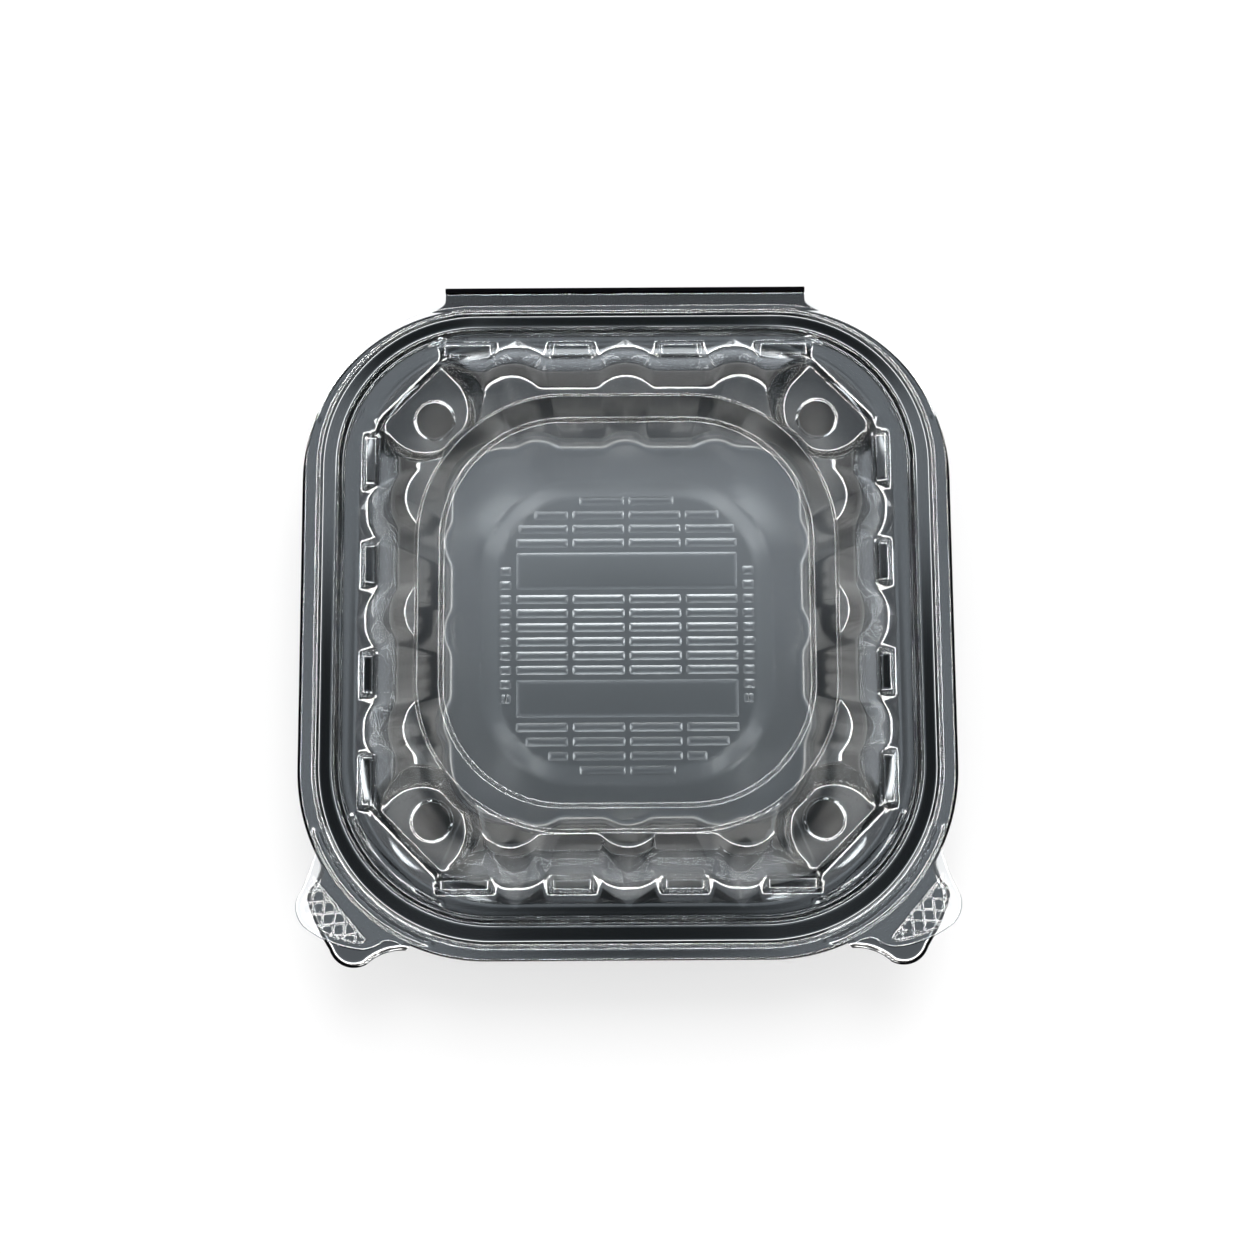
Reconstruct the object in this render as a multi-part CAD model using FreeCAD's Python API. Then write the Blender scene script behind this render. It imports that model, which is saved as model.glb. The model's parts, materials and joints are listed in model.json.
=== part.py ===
import FreeCAD, Part
import math
import os

from FreeCAD import Placement, Rotation, Vector

# A hinged takeaway pack, formed from thin sheet: a black tray and a clear vented lid.
# Millimetres, +Z up, the tray's foot on z = 0, the hinge at the back (+Y), the tabs in front.
# Each piece is an outer form with the same form cut out of it, one sheet further in.
# An outline is half width, reach to the back, reach to the front, and its corner radii at the back
# and the front. A section is a list of (outward step, height) points.

# Sheet and clearances; a cutting shape starts outside the face that it cuts by past
sheet = 0.5
lid_gap = 0.3
bead_gap = 0.35
fold_gap = 0.35
past = 1.0

# Tray
tray_height = 38.0
tray_lip = (102.7, 100.7, 105.2, 55.5, 59.0)
lip_drop = 1.6
lip_turn = 1.2
mouth = (84.8, 88.6, 88.2, 44.0, 46.0)
mouth_run = 4.4
mouth_drop = 2.8
wall_run = 19.0
floor_round = 2.6
floor_round_run = 1.9

# Floor: raised centre with a sloping border, ribs and two plain plates
centre_edge = (49.5, 51.7, 51.7, 33.0, 33.0)
border_width = 5.8
centre_rise = 1.6
rib_rows = 20
plate_rows = ((4, 6), (13, 15))
rib_columns = 4
rib_pitch_x = 19.2
rib_pitch_y = 4.82
rib_first_y = 44.5
rib_length = 17.6
rib_width = 3.0
rib_crest = 1.0
rib_rise = 0.7
rib_margin = 0.4
stub_length = 4.0
plate_length = 75.0
plate_slope = 1.2
plate_rise = 0.35

# Lid
lid_lip = (101.5, 101.2, 104.7, 53.0, 58.5)
bead_outer = (96.1, 97.5, 99.7, 48.8, 54.5)
bead_inner = (90.5, 92.5, 93.2, 43.2, 48.9)
bead_height = 3.4
bead_run = 1.5
dome_foot = (78.1, 83.5, 79.7)
crease_height = 17.0
crease_run = 9.1
shoulder_run = 5.2
ring_top = (61.9, 64.5, 64.3, 43.5, 43.5)
ring_height = 25.4
ring_step = 4.0
ring_run = 1.3
ring_width = 6.3
panel_drop = 3.0
panel_run = 1.1
facet_back = 99.8
facet_front = 97.6

# Vents, in petal-shaped recesses at the corners of the lid
vent_radius = 5.6
vent_x = 59.9
vent_y = 62.3
platform_height = 4.5
recess_radius = 13.3
recess_shift = 4.0

# Flutes, three in each wall
flutes_per_side = 3
flute_pitch = 34.4
flute_width = 16.8
flute_bulge = 2.8
tray_flute_pitch = 30.0
tray_flute_width = 15.0
tray_flute_bulge = 2.4

# Lugs round the foot of the dome
lug_height = 4.0
lug_length = 11.5
lug_reach = 3.4
lug_slope = 1.8
long_lug_length = 14.5
long_lug_place = 50.0

# Hinge
hinge_length = 115.0
hinge_out = 4.8
fold_radius = 0.9

# Tabs at the front corners: arcs through (step along the corner, distance from the middle)
lid_tab = [(-17.5, 119.0), (-14.0, 125.5), (-11.3, 132.8), (-7.5, 136.3), (-2.0, 136.8),
           (6.0, 134.4), (12.0, 131.0), (15.2, 128.0), (16.6, 123.9), (18.0, 121.9), (21.5, 120.3)]
tray_tab = [(-14.5, 120.0), (-12.3, 122.8), (-10.9, 126.4), (-9.9, 130.0), (-7.8, 131.7),
            (0.0, 134.9), (6.7, 136.7), (14.5, 136.4), (18.0, 131.9), (19.4, 126.0), (23.5, 120.5)]
tab_root = 108.0

# Worked out from the values above; long_way is longer than any form that a cutting shape runs through
top = tray_height
lid_under = top + lid_gap
lid_top = lid_under + sheet
hinge_z = top + lid_gap / 2
ring_base = lid_top + ring_height - ring_step
hinge_reach = lid_lip[1] + hinge_out
long_way = tray_height + ring_height


def grow(outline, amount):
    """The outline moved outwards by amount, corner radii too."""
    return tuple(value + amount for value in outline)


def corner_arcs(outline, z):
    """Three points on each of the four round corners, going round from the back right."""
    half, back, front, r_back, r_front = outline
    corners = ((half, back, r_back), (-half, back, r_back), (-half, -front, r_front), (half, -front, r_front))
    arcs = []
    for index, (x, y, radius) in enumerate(corners):
        centre = Vector(x - math.copysign(radius, x), y - math.copysign(radius, y), z)
        angles = [math.radians(90 * index + turn) for turn in (0, 45, 90)]
        arcs.append([centre] + [centre + Vector(math.cos(a), math.sin(a), 0) * radius for a in angles])
    return arcs


def rounded(outline, z):
    """A rectangle with round corners at height z, as a wire of four lines and four arcs."""
    arcs = corner_arcs(outline, z)
    edges = []
    for index, (_, start, middle, end) in enumerate(arcs):
        edges.append(Part.Arc(start, middle, end).toShape())
        edges.append(Part.makeLine(end, arcs[(index + 1) % 4][1]))
    return Part.Wire(edges)


def flat(points):
    """A flat face through the points."""
    return Part.Face(Part.makePolygon(list(points) + [points[0]]))


def closed(faces):
    """The solid inside the faces."""
    shell = Part.Shell(faces)
    shell.sewShape()
    solid = Part.Solid(shell)
    return solid if solid.Volume > 0 else solid.reversed()


def stack(outline, section):
    """A solid whose wall follows the section: flat sides and round corners about upright axes."""
    faces = []
    levels = [(grow(outline, step), z) for step, z in section]
    for (low, z_low), (high, z_high) in zip(levels, levels[1:]):
        below = corner_arcs(low, z_low)
        above = corner_arcs(high, z_high)
        for index in range(4):
            after = (index + 1) % 4
            edge = Part.makeLine(below[index][1], above[index][1])
            faces.append(edge.revolve(below[index][0], Vector(0, 0, 1), 90))
            faces.append(flat([below[index][3], below[after][1], above[after][1], above[index][3]]))
    faces.append(Part.Face(rounded(*levels[0])))
    faces.append(Part.Face(rounded(*levels[-1])))
    return closed(faces)


def offset(section, amount):
    """The section moved to the right of its run by amount, with mitred corners, less its two ends."""
    normals = []
    for (x_1, z_1), (x_2, z_2) in zip(section, section[1:]):
        length = math.hypot(x_2 - x_1, z_2 - z_1)
        normals.append(((z_2 - z_1) / length, (x_1 - x_2) / length))
    moved = []
    for (x, z), first, second in zip(section[1:-1], normals, normals[1:]):
        scale = amount / (1 + first[0] * second[0] + first[1] * second[1])
        moved.append((x + (first[0] + second[0]) * scale, z + (first[1] + second[1]) * scale))
    return moved


def slab(outline, z_low, z_high):
    """A flat plate of the outline's shape."""
    return Part.Face(rounded(outline, z_low)).extrude(Vector(0, 0, z_high - z_low))


def all_of(shape, others):
    """The shape joined with every solid in the list."""
    return shape.multiFuse(others) if others else shape


def between(shape, z_low, z_high):
    """The part of the shape between two heights."""
    size = 4 * long_way
    return shape.common(Part.makeBox(2 * size, 2 * size, z_high - z_low, Vector(-size, -size, z_low)))


def at_sides(maker):
    """Pieces made at the back for each side's reach and turned there: maker(index in an outline)."""
    pieces = []
    for turn, index in ((0, 1), (90, 0), (180, 2), (270, 0)):
        for piece in maker(index):
            piece.rotate(Vector(0, 0, 0), Vector(0, 0, 1), turn)
            pieces.append(piece)
    return pieces


def flute(foot, head, crest, width, bulge, thinner):
    """A leaning round rib on the back wall, along foot and head, two points in its face, up to the crest."""
    run = (head - foot).normalize()
    out = Vector(0, 1, 0) - run * run.y
    out.normalize()
    depth = bulge * out.y
    radius = (width ** 2 / 4 + depth ** 2) / (2 * depth)
    start = foot + out * (depth - radius) - run * long_way
    piece = Part.makeCylinder(radius - thinner, 2 * long_way + (head - foot).Length, start, run)
    return between(piece, foot.z, crest)


def flute_places(pitch):
    """The places of the flutes along a side."""
    return [(number - (flutes_per_side - 1) / 2) * pitch for number in range(flutes_per_side)]


def bead(outer, inner, z_low, z_high, longer):
    """A ridge round the pack, its walls carried down by longer along their slope."""
    run = bead_run * (1 + longer / bead_height)
    outside = stack(outer, [(run, z_low - longer), (0, z_high)])
    return outside.cut(stack(inner, [(-run, z_low - longer), (0, z_high)]))


def across_bead(distance):
    """How far a distance square to the bead's leaning wall reaches sideways."""
    return distance * math.hypot(1, bead_run / bead_height)


def under_lid(thinner):
    """Where the dome's forms start: the lid's underside, or lower where they cut through it."""
    return lid_under - (past if thinner else 0)


def dome_section(thinner):
    """The dome's wall from the lip to the top of its shoulder, on its outer or inner face."""
    wall = [(long_way, lid_top), (0, lid_top), (-crease_run, lid_top + crease_height),
            (-crease_run - shoulder_run, ring_base), (-long_way, ring_base)]
    points = offset(wall, -thinner)
    return [(points[0][0], under_lid(thinner))] + points


def beyond(start, end, length):
    """The point past the end of the line from start to end."""
    share = 1 + length / math.hypot(end[0] - start[0], end[1] - start[1])
    return start[0] + (end[0] - start[0]) * share, start[1] + (end[1] - start[1]) * share


def lid_flutes(thinner):
    """The dome's flutes: round bars laid along the wall and mitred at the crease, like a bent pipe."""
    foot, crease = (0, lid_top), (-crease_run, lid_top + crease_height)
    shoulder = (-crease_run - shoulder_run, ring_base)
    depth = flute_bulge * math.cos(math.atan2(crease_run, crease_height))
    radius = (flute_width ** 2 / 4 + depth ** 2) / (2 * depth)
    wall = [beyond(crease, foot, 2 * radius), beyond(crease, foot, radius), crease,
            beyond(crease, shoulder, radius), beyond(crease, shoulder, 2 * radius)]
    axis = offset(wall, depth - radius)

    def at_side(index):
        for place in flute_places(flute_pitch):
            points = [Vector(place, dome_foot[index] + step, z) for step, z in axis]
            ring_edge = Part.makeCircle(radius - thinner, points[0], points[1] - points[0])
            path = Part.Wire(Part.makePolygon(points).Edges)
            bar = path.makePipeShell([Part.Wire(ring_edge)], True, False, 1)
            yield between(bar, under_lid(thinner), ring_base - thinner)
    return at_sides(at_side)


def block(place, length, inner, outer, slope, z_low, z_high):
    """A block against the back wall with sloping ends and a sloping outer face."""
    levels = []
    for more, z in ((slope, z_low), (0, z_high)):
        half = length / 2 + more
        levels.append([Vector(place - half, inner, z), Vector(place + half, inner, z),
                       Vector(place + half, outer + more, z), Vector(place - half, outer + more, z)])
    return pile(levels)


def pile(polygons):
    """A solid with flat walls from each polygon up to the next one, which has the same directions."""
    walls = []
    for low, high in zip(polygons, polygons[1:]):
        walls += [flat([low[i - 1], low[i], high[i], high[i - 1]]) for i in range(len(low))]
    return closed([flat(polygons[0]), flat(polygons[-1])] + walls)


def lugs(thinner):
    """Stacking lugs at the foot of the dome: short between the flutes, long by the corners."""
    low = under_lid(thinner)
    high = lid_top + lug_height - thinner
    slope = lug_slope * (high - low) / lug_height

    def at_side(index):
        outer = dome_foot[index] + lug_reach - thinner
        for sign in (-1, 1):
            for place, length in ((flute_pitch / 2, lug_length), (long_lug_place, long_lug_length)):
                yield block(sign * place, length - 2 * thinner, outer - 3 * lug_reach, outer, slope, low, high)
    return at_sides(at_side)


def eight_sides(step, z):
    """The dome's outline at a height: a rectangle with a flat facet across each corner."""
    half, back, front = [reach + step for reach in dome_foot]
    far = (facet_back + step) * math.sqrt(2)
    near = (facet_front + step) * math.sqrt(2)
    right = [Vector(near - front, -front, z), Vector(half, half - near, z), Vector(half, far - half, z),
             Vector(far - back, back, z)]
    return right + [Vector(-point.x, point.y, z) for point in reversed(right)]


def panel_pocket(thinner):
    """The sunk panel inside the stacking ring, to be cut away from it."""
    edge = grow(ring_top, -ring_width)
    wall = [(-long_way, lid_top + ring_height - panel_drop), (-panel_run, lid_top + ring_height - panel_drop),
            (0, lid_top + ring_height), (long_way, lid_top + ring_height)]
    points = offset(wall, thinner)
    return stack(edge, points + [(points[-1][0], points[-1][1] + past)])


def ring(thinner):
    """The stacking ring as a solid post that reaches down into the dome."""
    slope = ring_run / ring_step
    low = ring_base - ring_step
    wall = [(ring_run + slope * (ring_step + past), low - past), (ring_run + slope * ring_step, low),
            (0, lid_top + ring_height), (-long_way, lid_top + ring_height)]
    return stack(ring_top, offset(wall, -thinner))


def corners():
    """The four corners: x and y signs and the vent's place."""
    return [(x, y, Vector(x * vent_x, y * vent_y, 0)) for x in (-1, 1) for y in (-1, 1)]


def recess(x_sign, y_sign, vent, thinner):
    """A petal-shaped recess, round towards the middle of the lid and open towards the corner."""
    radius = recess_radius + thinner
    floor_z = platform_height - thinner
    round_end = Part.makeCylinder(radius, long_way, Vector(0, 0, floor_z))
    piece = round_end.fuse(Part.makeBox(long_way, 2 * radius, long_way, Vector(0, -radius, floor_z)))
    out = Vector(x_sign, y_sign, 0).normalize()
    angle = math.degrees(math.atan2(y_sign, x_sign))
    piece.Placement = Placement(vent + out * recess_shift + Vector(0, 0, lid_top),
                                Rotation(Vector(0, 0, 1), angle))
    return piece


def dome(thinner):
    """The dome as a solid, with flutes, ring, sunk panel, corner facets and vent recesses."""
    body = pile([eight_sides(step, z) for step, z in dome_section(thinner)])
    body = all_of(body, lid_flutes(thinner) + [ring(thinner)]).cut(panel_pocket(thinner))
    for corner in corners():
        body = body.cut(recess(*corner, thinner))
    return all_of(body, lugs(thinner))


def tab(points, z_low, side):
    """A lifting tab at a front corner: arcs one after another, closed well inside the lip."""
    out = Vector(side, -1, 0).normalize()
    along = Vector(-side, -1, 0).normalize()
    places = [along * s + out * d + Vector(0, 0, z_low) for s, d in points]
    ends = [along * s + out * tab_root + Vector(0, 0, z_low) for s in (points[0][0], points[-1][0])]
    edges = []
    for index in range(0, len(places) - 2, 2):
        edges.append(Part.Arc(places[index], places[index + 1], places[index + 2]).toShape())
    edges += [Part.makeLine(places[-1], ends[1]), Part.makeLine(ends[1], ends[0]),
              Part.makeLine(ends[0], places[0])]
    return Part.Face(Part.Wire(edges)).extrude(Vector(0, 0, sheet))


def hinge_strip(z_low, y_low, y_high):
    """The flat strip of sheet that runs out to the fold."""
    return Part.makeBox(hinge_length, y_high - y_low, sheet, Vector(-hinge_length / 2, y_low, z_low))


def build_lid():
    """The clear lid: lip, snap bead, fluted dome, stacking ring, lugs, vents and tabs."""
    strip_end = hinge_reach - fold_radius - fold_gap
    outer = slab(lid_lip, lid_under, lid_top)
    outer = all_of(outer, [tab(lid_tab, lid_under, -1), tab(lid_tab, lid_under, 1),
                           hinge_strip(lid_under, bead_outer[1], strip_end),
                           bead(bead_outer, bead_inner, lid_top, lid_top + bead_height, sheet), dome(0)])
    across = across_bead(sheet)
    under_bead = bead(grow(bead_outer, -across), grow(bead_inner, across), lid_top,
                      lid_top + bead_height - sheet, 2 * past)
    shell = outer.cut(under_bead).cut(dome(sheet))
    for _, _, vent in corners():
        shell = shell.cut(Part.makeCylinder(vent_radius, long_way, vent, Vector(0, 0, 1)))
    return shell


def cavity(thicker):
    """The tray's hollow, or the outside of its wall when it is thicker by a sheet."""
    knee = (-mouth_run - wall_run, sheet + floor_round)
    floor_step = knee[0] - floor_round_run
    wall = [(-long_way, sheet), (floor_step, sheet), knee, (-mouth_run, top - mouth_drop), (0, top),
            (long_way, top)]
    points = offset(wall, thicker)
    if not thicker:
        points.append((mouth_run, top + mouth_drop))
    body = stack(mouth, points)
    low, high = points[1], points[2]

    def at_side(index):
        reach = mouth[index] - thicker
        crest = top if thicker else top + mouth_drop
        for bottom, place in zip(flute_places(tray_flute_pitch), flute_places(flute_pitch)):
            foot = Vector(bottom, reach + low[0], low[1])
            head = Vector(place, reach + high[0], high[1])
            yield flute(foot, head, crest, tray_flute_width, tray_flute_bulge, -thicker)
    return all_of(body, at_sides(at_side))


def floor_form(lower):
    """The raised centre of the floor with its sloping border, as a solid below the floor's face."""
    wall = [(long_way, sheet), (0, sheet), (-border_width, sheet + centre_rise),
            (-long_way, sheet + centre_rise)]
    points = offset(wall, -lower)
    return stack(centre_edge, [(points[0][0], -past if lower else sheet / 2)] + points)


def bar(x, y, length, width, slope, rise):
    """A low bar on the raised centre, with sloping sides and ends, rooted in the sheet."""
    base = sheet + centre_rise
    root = sheet / 2
    levels = []
    for less, z in ((-slope * root / rise, base - root), (slope, base + rise)):
        half_x = length / 2 - less
        half_y = width / 2 - less
        levels.append([Vector(x - half_x, y - half_y, z), Vector(x + half_x, y - half_y, z),
                       Vector(x + half_x, y + half_y, z), Vector(x - half_x, y + half_y, z)])
    return pile(levels)


def field_reach(y):
    """How far the flat field of ribs reaches from the middle line at a distance y from its centre."""
    half, back, front, radius, _ = grow(centre_edge, -border_width)
    past = abs(y) - ((back if y > 0 else front) - radius)
    return half if past <= 0 else half - radius + math.sqrt(max(radius ** 2 - past ** 2, 0))


def ribs():
    """The ribs in their rows and columns, with stubs at both sides and two plain plates."""
    slope = (rib_width - rib_crest) / 2
    plate_numbers = [number for first, last in plate_rows for number in range(first, last + 1)]
    middles = [(column - (rib_columns - 1) / 2) * rib_pitch_x for column in range(rib_columns)]
    inner_end = rib_columns * rib_pitch_x / 2 + (rib_pitch_x - rib_length) / 2
    pieces = []
    for number in range(rib_rows):
        y = rib_first_y - number * rib_pitch_y
        limit = field_reach(abs(y) + rib_width / 2 if y > 0 else y - rib_width / 2) - rib_margin
        spans = [(inner_end, inner_end + stub_length), (-inner_end - stub_length, -inner_end)]
        if number not in plate_numbers:
            spans += [(middle - rib_length / 2, middle + rib_length / 2) for middle in middles]
        for low, high in spans:
            low = max(low, -limit)
            high = min(high, limit)
            if high - low > rib_width:
                pieces.append(bar((low + high) / 2, y, high - low, rib_width, slope, rib_rise))
    for first, last in plate_rows:
        y = rib_first_y - (first + last) / 2 * rib_pitch_y
        width = (last - first + 1) * rib_pitch_y - (rib_pitch_y - rib_width)
        pieces.append(bar(0, y, plate_length, width, plate_slope, plate_rise))
    return pieces


def tray_rim():
    """The tray's flat rim with its edge turned down."""
    edge = grow(tray_lip, -lip_turn)
    low = top - lip_drop
    turned = stack(tray_lip, [(0, low), (-lip_turn, top)])
    wall = [(-lip_turn - long_way, top), (-lip_turn, top), (0, low), (lip_turn, low - lip_drop)]
    under = offset(wall, sheet)
    inside = stack(tray_lip, [(under[1][0], low - past), under[1], under[0]])
    rim = turned.cut(inside)
    return rim.fuse(slab(edge, top - sheet, top))


def fold():
    """The folded sheet at the hinge: a tube slit along the side that faces the pack."""
    start = Vector(-hinge_length / 2, hinge_reach, hinge_z)
    outer = Part.makeCylinder(fold_radius, hinge_length, start, Vector(1, 0, 0))
    inner = Part.makeCylinder(fold_radius - sheet, hinge_length, start, Vector(1, 0, 0))
    slit = Part.makeBox(hinge_length, fold_radius, fold_radius, start - Vector(0, fold_radius, lid_gap / 2))
    return outer.cut(inner).cut(slit)


def build_tray():
    """The black tray: rim, snap bead, fluted cavity, ribbed floor, tabs and the hinge's fold."""
    across = across_bead(sheet)
    outer_top = grow(bead_outer, -across - bead_gap)
    inner_top = grow(bead_inner, across + bead_gap)
    ridge = bead(outer_top, inner_top, top, top + bead_height, sheet)
    under_ridge = bead(grow(outer_top, -across), grow(inner_top, across), top, top + bead_height - sheet, 2 * past)
    strip = hinge_strip(top - sheet, bead_outer[1], hinge_reach - fold_radius + sheet / 2)
    shell = all_of(tray_rim(), [ridge, cavity(sheet), strip, tab(tray_tab, top - sheet, -1),
                                tab(tray_tab, top - sheet, 1)])
    shell = shell.cut(under_ridge).cut(cavity(0))
    shell = shell.fuse(floor_form(0)).cut(floor_form(sheet))
    return all_of(shell, ribs() + [fold()])


def main():
    os.makedirs("parts", exist_ok=True)
    tray = build_tray().removeSplitter()
    lid = build_lid().removeSplitter()
    middle_y = (tray.BoundBox.YMin + tray.BoundBox.YMax) / 2
    for name, piece in (("base_tray", tray), ("lid", lid)):
        piece.translate(Vector(0, -middle_y, 0))
        print(name, "solids", len(piece.Solids), "valid", piece.isValid(), "volume", round(piece.Volume, 1))
        piece.exportStep("parts/" + name + ".step")
    print("hinge at y", round(hinge_reach - middle_y, 3), "z", round(hinge_z, 3))


main()
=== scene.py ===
import math

import bpy
import numpy as np
from mathutils import Matrix, Vector
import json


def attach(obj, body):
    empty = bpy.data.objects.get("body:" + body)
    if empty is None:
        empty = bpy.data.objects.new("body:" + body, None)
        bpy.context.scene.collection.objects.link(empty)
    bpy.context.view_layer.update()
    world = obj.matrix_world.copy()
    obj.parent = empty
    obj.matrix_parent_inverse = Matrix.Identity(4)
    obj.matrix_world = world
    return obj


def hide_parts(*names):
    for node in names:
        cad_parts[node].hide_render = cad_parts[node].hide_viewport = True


# A hinged takeaway pack: a clear formed lid over a black formed tray, seen from straight above.
# Sizes are in millimetres from the middle of the pack. Heights of the lid are above its lip, and
# heights of the tray are above its rim. An outline is half width, back, front, back and front corner.
# A slope is a rise for each millimetre inwards, and a run is how far inwards a wall goes.

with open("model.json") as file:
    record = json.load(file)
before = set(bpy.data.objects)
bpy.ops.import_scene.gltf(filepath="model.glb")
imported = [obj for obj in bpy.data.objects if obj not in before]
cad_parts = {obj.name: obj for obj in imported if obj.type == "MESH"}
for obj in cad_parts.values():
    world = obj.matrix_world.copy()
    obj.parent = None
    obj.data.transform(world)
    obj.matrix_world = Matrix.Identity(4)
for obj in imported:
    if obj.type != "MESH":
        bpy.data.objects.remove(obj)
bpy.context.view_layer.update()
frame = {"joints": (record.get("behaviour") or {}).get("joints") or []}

MM = 0.001
TINY = 0.001
SHEET = 0.5
LIP_GAP = 0.15
HINGE = Vector(frame["joints"][0]["pos_m"]) / MM
HINGE_BACK = 106.0
SHIFT = HINGE.y - HINGE_BACK
LID_Z = HINGE.z + LIP_GAP + SHEET
TRAY_Z = HINGE.z - LIP_GAP

# Lip and snap bead of the lid
LID_LIP = (101.5, 101.2, 104.7, 53.0, 58.5)
LIP_EDGE_SLOPE = 2.5
LIP_EDGE_DROP = 0.45
BEAD_OUTER = (96.1, 97.5, 99.7, 48.8, 54.5)
BEAD_INNER = (90.5, 92.5, 93.2, 43.2, 48.9)
BEAD_HEIGHT = 3.4
BEAD_RUN = 1.5

# How much the tops of the beads, the ring and the lugs fall inwards: at the sides, back and front
BAND_LEAN = (0.107, 0.165, 0.055)

# Dome: its foot at the sides, back and front, facets across the corners, a wall up to the crease, and
# a shoulder from there to the ring. On the shoulder a flute stands out more, by the mitre's factor
DOME_FOOT = (78.1, 83.5, 79.7)
FACET = (99.8, 97.6)
CREASE = 17.0
CREASE_RUN = 9.1
SHOULDER_RUN = (7.1, 7.1, 5.0)
FLUTES = (-34.4, 0.0, 34.4)
FLUTE_WIDTH = 16.8
FLUTE_BULGE = 2.8
MITRE = 1.366

# Stacking ring and the panel sunk inside it
RING_TOP = (61.9, 64.5, 64.3, 43.5, 43.5)
RING_HEIGHT = 25.4
RING_STEP = 2.4
RING_RUN = 0.8
RING_WIDTH = 6.3
RING_BASE = RING_HEIGHT - RING_STEP
PANEL_DROP = 3.0
PANEL_RUN = 1.1

# Lugs at the dome's foot: how far they reach out and in, and their places and lengths along a side
LUG_HEIGHT = 4.0
LUG_REACH = 3.4
LUG_RUN = 1.8
LUG_ROOT = 1.4
LUGS = ((-50.0, 14.5), (-17.2, 11.5), (17.2, 11.5), (50.0, 14.5))

# The skirt, a low slope round the dome's foot: its reach beside lugs, flutes and facets
SKIRT_SLOPE = 0.25
SKIRT = 1.6
SKIRT_LUG = 6.4
SKIRT_LUG_TAPER = 3.0
SKIRT_FLUTE = 7.4
SKIRT_FLUTE_TAPER = 0.62
SKIRT_FACET = 5.0
SKIRT_FACET_SLOPE = 0.17
SKIRT_END = 1.5

# Vents in petal-shaped recesses, with a slightly raised edge. A patch is the part of the lid round a
# vent that has its own points
VENT = (59.9, 62.3)
VENT_RADIUS = 5.6
VENT_RISE = 0.6
VENT_EDGE = 1.2
VENT_GRID = (41, 240)
PLATFORM = 4.5
PETAL_RADIUS = 13.3
PETAL_SHIFT = 4.0
PETAL_FOOT = 0.7
PETAL_SLOPE = 3.2
PETAL_ROUND = 1.4
PATCH_STEP = 6.9
PATCH_LINE = 1.2

# Locks pressed into the lip, along the round corners of an outline at the front (-1) or the back (1):
# way in from the corner, half width, height, first and last angle
LOCKS = ((LID_LIP, -1, 2.2, 1.3, 1.3, 20.0, 70.0), (BEAD_INNER, -1, 2.5, 1.1, 1.3, 21.0, 69.0),
         (LID_LIP, 1, 1.6, 0.9, 0.35, 18.0, 74.0))
LOCK_STEEPNESS = 1.6

# Tray: a lip that turns down, a bead under the lid's, a mouth, a fluted wall and the floor. Its flutes
# slant from their places at the floor to those at the mouth
TRAY_LIP = (102.7, 100.7, 105.2, 55.5, 59.0)
LIP_TURN = 0.8
LIP_DROP = 1.6
EDGE_BAND = 1.1
BEAD_INSET = 0.9
MOUTH = (84.8, 88.6, 88.2, 44.0, 46.0)
MOUTH_RUN = 4.4
MOUTH_DROP = 2.8
WALL_RUN = 19.0
FLOOR_ROUND = 2.6
FLOOR_ROUND_RUN = 1.9
FLOOR = SHEET - 38.0
CENTRE_EDGE = (49.5, 51.7, 51.7, 33.0, 33.0)
BORDER_WIDTH = 5.8
CENTRE_RISE = 1.6
TRAY_FLUTES = ((30.0, 34.4), (0.0, 0.0), (-30.0, -34.4))
TRAY_FLUTE_WIDTH = 15.0
TRAY_FLUTE_BULGE = 2.4

# Bars on the tray's floor: ribs in columns and rows, stubs beside them, and two plain plates. A size is
# length, width and rise. The grid gives the lines of points near a bar's edge
RIB_ROWS = 20
PLATE_ROWS = ((4, 6), (13, 15))
RIB_COLUMNS = 4
RIB_PITCH = (19.2, 4.82)
RIB_FIRST = 44.5
RIB_SIZE = (17.6, 3.0, 0.45)
RIB_RUN = 1.0
RIB_MARGIN = 0.4
RIB_GRID = (0, 0.25, 0.5, 0.75, 1.0, 1.35, 1.8)
STUB_LENGTH = 4.0
PLATE_SIZE = (75.0, 12.64, 0.35)

# Tabs at the front corners: arcs through (step along the corner, distance from the middle). A grid is
# the number of steps on each arc and the number of rows
LID_TAB = ((-17.5, 119.0), (-14.0, 125.5), (-11.3, 132.8), (-7.5, 136.3), (-2.0, 136.8),
           (6.0, 134.4), (12.0, 131.0), (15.2, 128.0), (16.6, 123.9), (18.0, 121.9), (21.5, 120.3))
LID_TAB_INSET = 1.2
LID_TAB_GRID = (56, 84)
LID_TAB_DROP = 0.35
LID_TAB_ROLL = 0.5
LID_TAB_ROLL_RUN = 0.8
TRAY_TAB = ((-14.5, 120.0), (-12.3, 122.8), (-10.9, 126.4), (-9.9, 130.0), (-7.8, 131.7),
            (0.0, 134.9), (6.7, 136.7), (14.5, 136.4), (18.0, 131.9), (19.4, 126.0), (23.5, 120.5))
TRAY_TAB_INSET = 2.4
TRAY_TAB_GRID = (14, 31)
TRAY_TAB_DROP = 0.05
TAB_CURL = 1.8
TAB_CURL_RUN = 2.4
TAB_EDGE_ROWS = 2

# Crossed ridges on the lid's tabs: first and last step, least distance from the middle and least way
# in from the edge, with a line round them
HATCH = (-12.0, 12.5, 124.6, 2.2)
HATCH_TAPER = 0.08
HATCH_SLANT = 0.85
HATCH_PITCH = 4.6
HATCH_HALF = 0.55
HATCH_RISE = 0.42
HATCH_FADE = 0.5
HATCH_LINE = 0.4

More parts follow.
